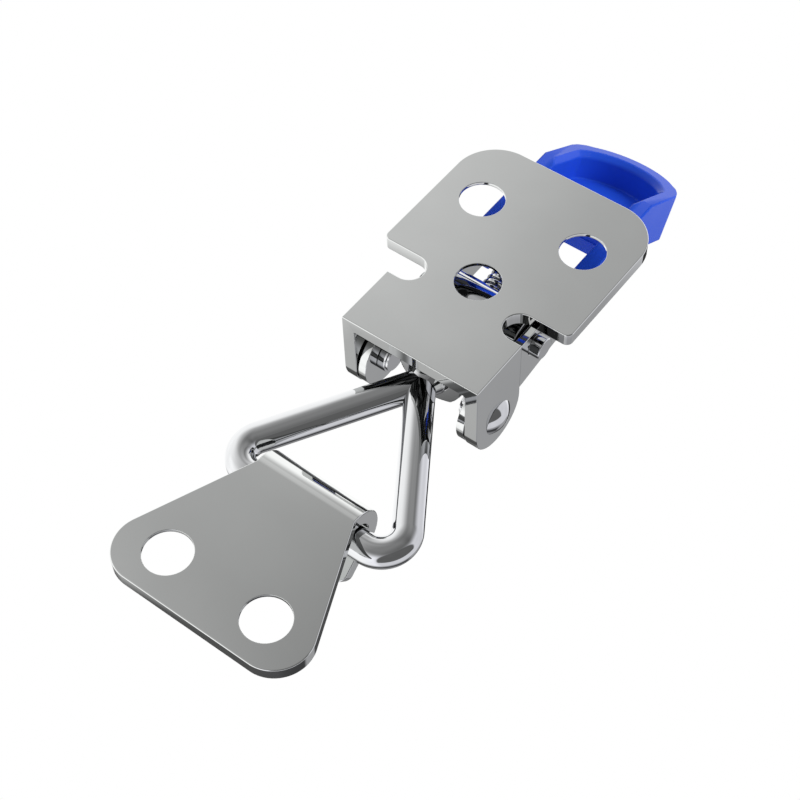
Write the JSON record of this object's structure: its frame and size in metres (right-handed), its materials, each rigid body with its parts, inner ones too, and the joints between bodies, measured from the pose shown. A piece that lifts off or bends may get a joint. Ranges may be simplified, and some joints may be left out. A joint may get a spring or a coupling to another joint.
{
  "type": "adjustable toggle latch",
  "caption": "Over-centre draw latch with a folded steel base, threaded wire bail, lock nut, hooked catch plate and plastic finger grip.",
  "frame": {"origin": "on the base plate's mounting face, on its centre line, midway between the front hole and the row of two rear holes", "axes": "+X along the pull, from the catch plate to the grip; +Y across; +Z away from the mounting face, towards the lever"},
  "size_m": [0.1017, 0.03, 0.0187],
  "materials": {
    "sheet_steel": "satin plated sheet steel",
    "bright_chrome": "bright plated steel",
    "blue_plastic": "glossy blue moulding"
  },
  "bodies": {
    "base": {"base_plate": "sheet_steel", "pivot_rivet_right": "bright_chrome", "pivot_rivet_left": "bright_chrome"},
    "lever": {"lever": "sheet_steel", "grip": "blue_plastic"},
    "cross_bolt": {"cross_bolt": "bright_chrome", "washer": "bright_chrome"},
    "lock_nut": {"lock_nut": "bright_chrome"},
    "bail": {"bail": "bright_chrome"},
    "catch": {"catch_plate": "sheet_steel"}
  },
  "joints": [
    {"name": "lever_swing", "type": "hinge", "parent": "base", "child": "lever", "pos_m": [-0.01665, 0, 0.01], "axis": [0, -1, 0], "range_deg": [0, 150]},
    {"name": "bolt_turn", "type": "hinge", "parent": "lever", "child": "cross_bolt", "pos_m": [-0.00504, 0, 0.0079], "axis": [0, -1, 0], "range_deg": [-150, 0]},
    {"name": "bail_adjust", "type": "slide", "parent": "cross_bolt", "child": "bail", "axis": [-0.9989, 0, 0.0474], "range_m": [-0.0015, 0.003]},
    {"name": "nut_spin", "type": "hinge", "parent": "cross_bolt", "child": "lock_nut", "pos_m": [-0.00504, 0, 0.0079], "axis": [-0.9989, 0, 0.0474], "continuous": true},
    {"name": "catch_swing", "type": "hinge", "parent": "bail", "child": "catch", "pos_m": [-0.043, 0, 0.0097], "axis": [0, 1, 0], "range_deg": [-60, 60]}
  ],
  "couplings": [
    {"joint": "bolt_turn", "follows": "lever_swing", "ratio": -1}
  ]
}
